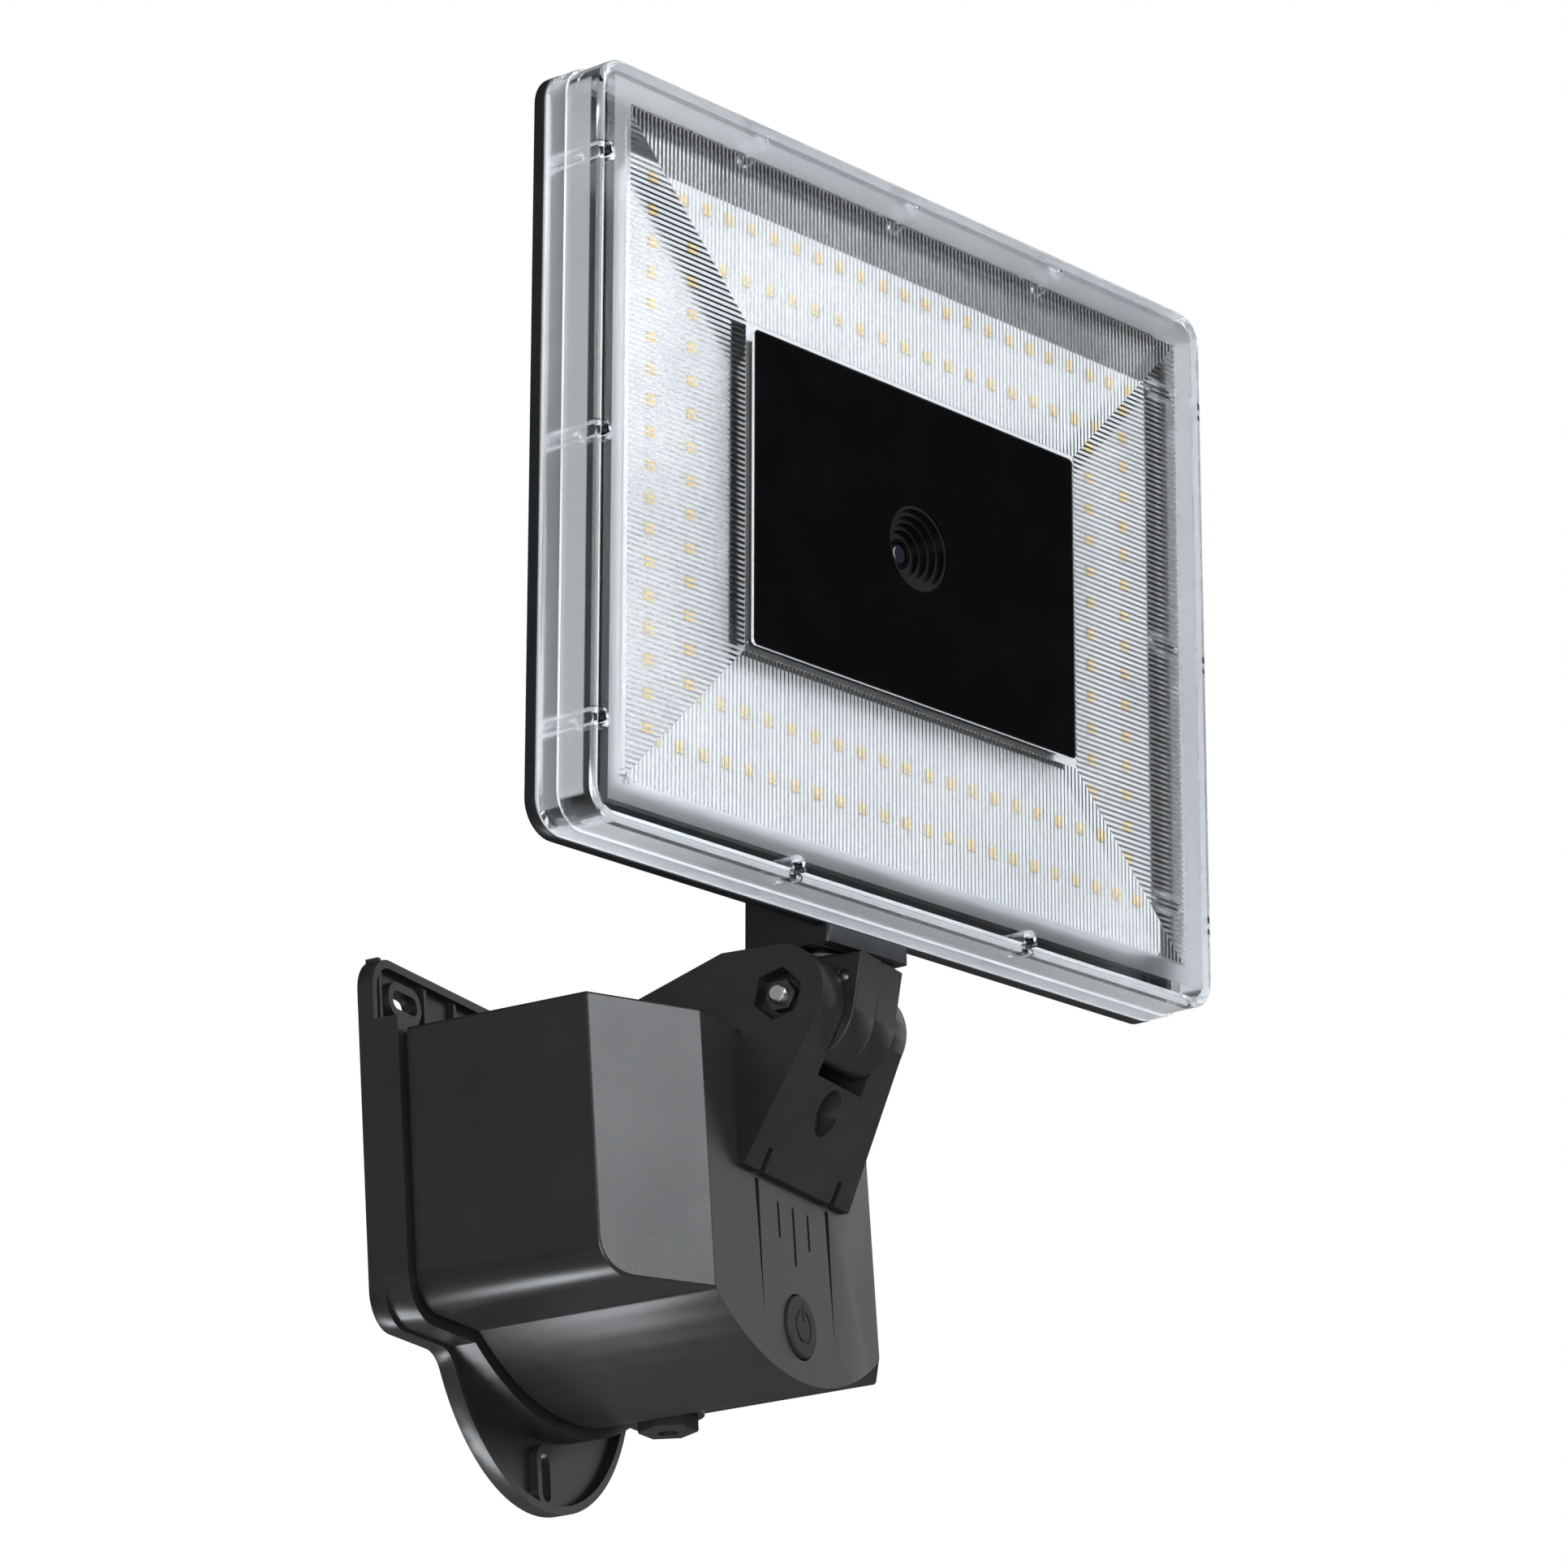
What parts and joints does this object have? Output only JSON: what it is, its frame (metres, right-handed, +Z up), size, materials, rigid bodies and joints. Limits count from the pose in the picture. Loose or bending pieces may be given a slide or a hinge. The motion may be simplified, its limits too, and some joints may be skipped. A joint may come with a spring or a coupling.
{
  "type": "floodlight security camera",
  "caption": "Wall-mounted LED floodlight with a camera in its panel, a tilt and pan knuckle, a speaker and a power button.",
  "frame": {"origin": "centre of the wall face of the rear casing, midway across it, 48 mm below the level of the box top", "axes": "+X to the right seen from the front, +Y into the wall, +Z up"},
  "size_m": [0.2593, 0.1829, 0.3644],
  "materials": {
    "black_plastic": "fine moulded texture",
    "black_satin": "smooth satin",
    "clear_cover": "clear polycarbonate with prismatic ribs",
    "white_gasket": "soft white seal",
    "black_rubber": "satin",
    "white_board": "white solder mask",
    "green_board": "solder mask",
    "led_yellow": "phosphor dome, unlit",
    "steel": "zinc plated",
    "dark_steel": "black zinc",
    "aluminium": "satin",
    "gloss_black": "polished",
    "lens_glass": "coated lens",
    "component_grey": "moulded"
  },
  "bodies": {
    "wall_unit": {"rear_casing": "black_plastic", "casing_gasket": "black_rubber", "rear_grommet": "black_rubber", "front_shell": "black_plastic", "cable_gland": "black_rubber", "shell_screws": "steel", "control_board": "green_board", "board_screws": "steel", "transformer": "component_grey", "capacitors": "aluminium", "relay": "component_grey", "radio_module": "green_board", "terminal_block": "component_grey", "speaker": "component_grey", "speaker_mesh": "black_satin", "switch_board": "green_board", "button_switch": "component_grey", "fork_arm": "black_plastic", "arm_screw": "dark_steel", "pivot_bolt": "steel", "pivot_nut": "dark_steel", "pivot_washers": "dark_steel"},
    "knuckle": {"lug_left": "black_satin", "lug_right": "black_satin", "lug_screws": "steel", "pan_spigot": "dark_steel", "pan_washer": "steel", "pan_nut": "steel"},
    "head": {"hinge_block": "black_plastic", "hinge_block_screws": "steel", "rear_housing": "black_plastic", "cover_gasket": "white_gasket", "front_cover": "clear_cover", "cover_screws": "steel", "led_board": "white_board", "leds": "led_yellow", "heat_spreader": "aluminium", "camera_panel": "gloss_black", "camera_box": "black_satin", "camera_bezel": "black_satin", "lens_barrel": "gloss_black", "front_lens": "lens_glass", "image_sensor": "component_grey", "camera_board": "green_board", "driver_board": "green_board", "driver_coils": "component_grey", "vent_plug": "black_rubber"},
    "button": {"power_button": "black_rubber"}
  },
  "joints": [
    {"name": "tilt", "type": "hinge", "parent": "wall_unit", "child": "knuckle", "pos_m": [0, -0.097, 0.0561], "axis": [1, 0, 0], "range_deg": [-4, 46]},
    {"name": "pan", "type": "hinge", "parent": "knuckle", "child": "head", "pos_m": [0, -0.097, 0.0561], "axis": [0, -0.068, 0.9977], "range_deg": [-31.8, 63.2]},
    {"name": "button_press", "type": "slide", "parent": "wall_unit", "child": "button", "axis": [0, 1, 0], "range_m": [0, 0.0008], "stiffness_N_per_m": 800, "springref_m": -0.0006}
  ]
}
